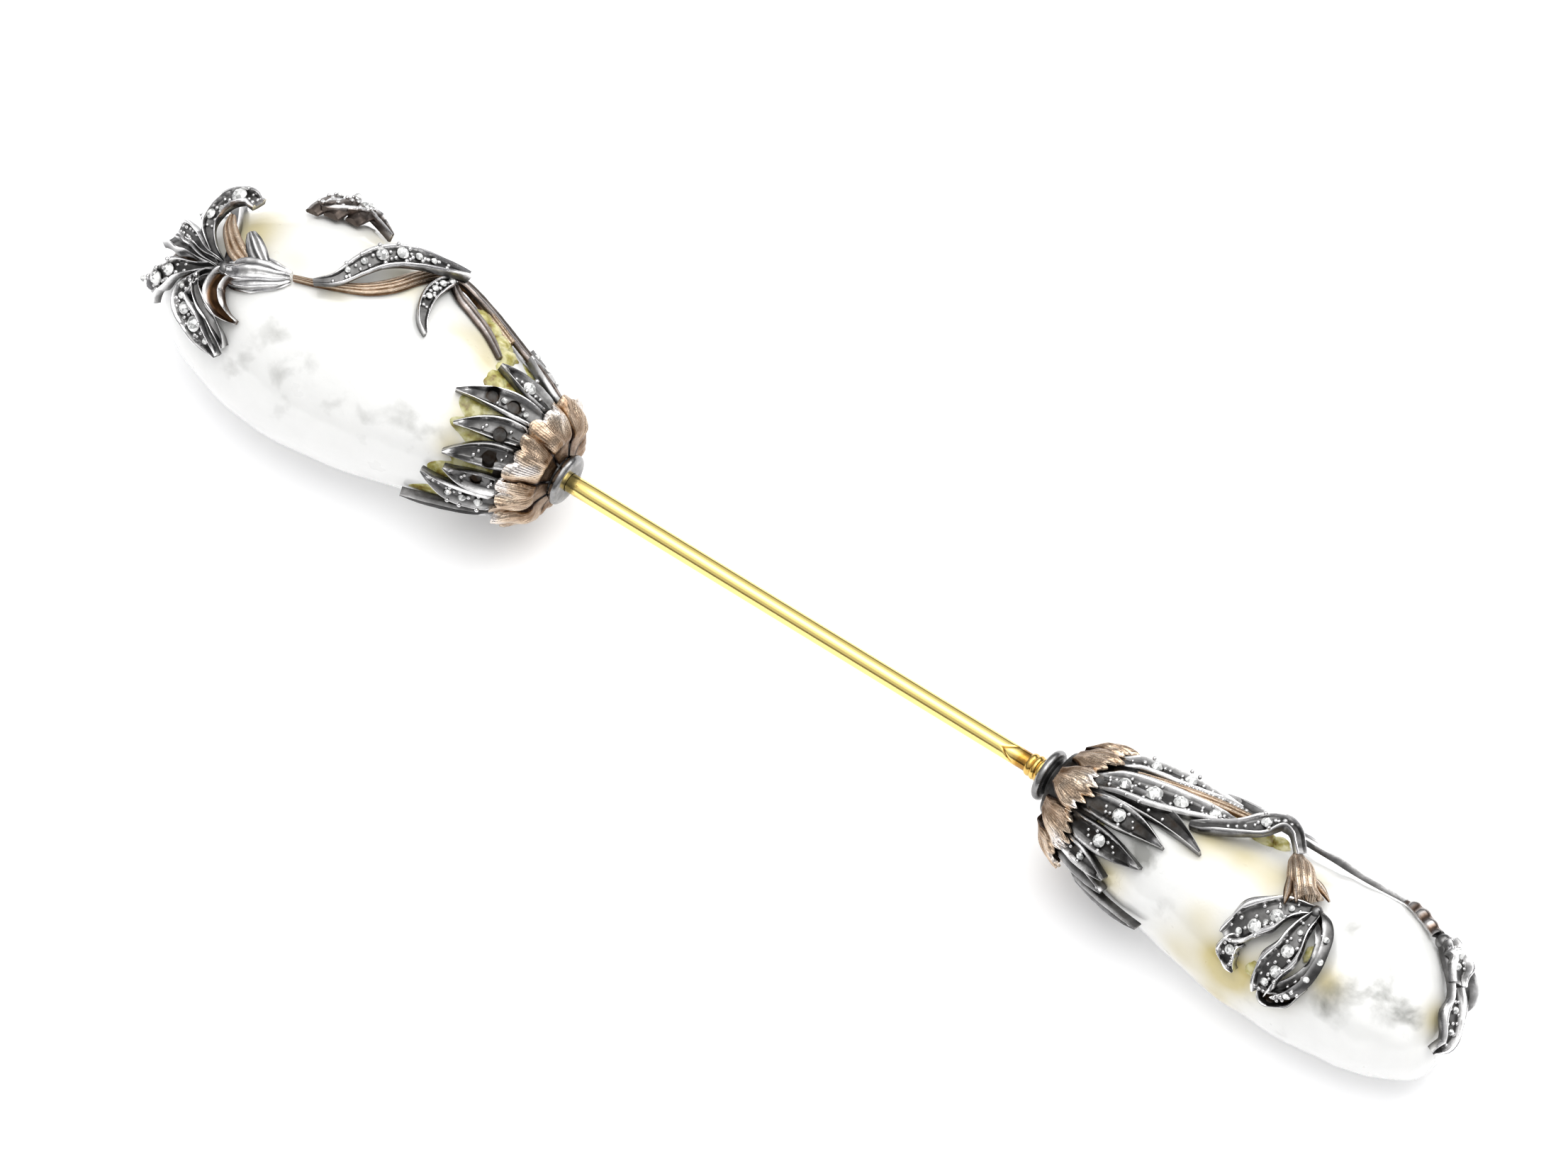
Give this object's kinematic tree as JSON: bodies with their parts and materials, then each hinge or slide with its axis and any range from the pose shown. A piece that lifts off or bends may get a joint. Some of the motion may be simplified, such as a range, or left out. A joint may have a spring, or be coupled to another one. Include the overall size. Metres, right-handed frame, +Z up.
{
  "type": "jabot pin",
  "caption": "Two-headed stick pin: a straight gold rod joins two baroque pearls in silver and gold leaf caps, with diamond-set vines and flowers on the pearls.",
  "frame": {"origin": "middle of the underside of the object's box, on the surface that it lies on", "axes": "+X along the rod towards the head that pulls off, +Z up with the flowers' side up, +Y across"},
  "size_m": [0.0944, 0.0146, 0.0141],
  "materials": {
    "oxidised_silver": "oxidised silver, dark in the hollows and worn bright on the rims",
    "rose_gold": "frosted and engraved rose gold",
    "yellow_gold": "polished yellow gold",
    "nacre": "lustrous, lumpy white baroque pearl",
    "diamond": "greyish rose-cut diamond"
  },
  "bodies": {
    "pin": {"left_bud": "oxidised_silver", "left_bud_stone": "diamond", "left_calyx": "rose_gold", "left_cap": "oxidised_silver", "left_fall_stone_1": "diamond", "left_fall_stone_2": "diamond", "left_fall_stone_3": "diamond", "left_flower": "oxidised_silver", "left_gold_leaves": "rose_gold", "left_hook_leaf": "oxidised_silver", "left_hook_stone_1": "diamond", "left_hook_stone_2": "diamond", "left_hook_stone_3": "diamond", "left_hook_stone_4": "diamond", "left_leaf_stone_1": "diamond", "left_leaf_stone_2": "diamond", "left_leaf_stone_3": "diamond", "left_leaf_stone_4": "diamond", "left_pearl": "nacre", "left_petal_stone_1": "diamond", "left_petal_stone_2": "diamond", "left_standard_stone_1": "diamond", "left_standard_stone_2": "diamond", "left_stem": "rose_gold", "left_vine_leaf": "oxidised_silver", "left_vine_stone_1": "diamond", "left_vine_stone_2": "diamond", "left_vine_stone_3": "diamond", "left_vine_stone_4": "diamond", "left_vine_stone_5": "diamond", "left_vine_stone_6": "diamond", "pin_ferrule": "yellow_gold", "pin_rod": "yellow_gold"},
    "right_head": {"right_calyx": "rose_gold", "right_cap": "oxidised_silver", "right_end_calyx": "rose_gold", "right_end_flower": "oxidised_silver", "right_end_stone_1": "diamond", "right_far_stone_1": "diamond", "right_far_stone_2": "diamond", "right_far_vine": "oxidised_silver", "right_flower": "oxidised_silver", "right_gold_leaves": "rose_gold", "right_gold_stem": "rose_gold", "right_leaf_stone_1": "diamond", "right_leaf_stone_2": "diamond", "right_leaf_stone_3": "diamond", "right_long_stone_1": "diamond", "right_long_stone_2": "diamond", "right_long_stone_3": "diamond", "right_long_stone_4": "diamond", "right_pearl": "nacre", "right_petal_stone_1": "diamond", "right_petal_stone_2": "diamond", "right_petal_stone_3": "diamond", "right_petal_stone_4": "diamond", "right_petal_stone_5": "diamond", "right_vine": "oxidised_silver", "right_vine_stone": "diamond"}
  },
  "joints": [
    {"name": "right_head_pull", "type": "slide", "parent": "pin", "child": "right_head", "axis": [1, 0, 0], "range_m": [0, 0.012]}
  ]
}
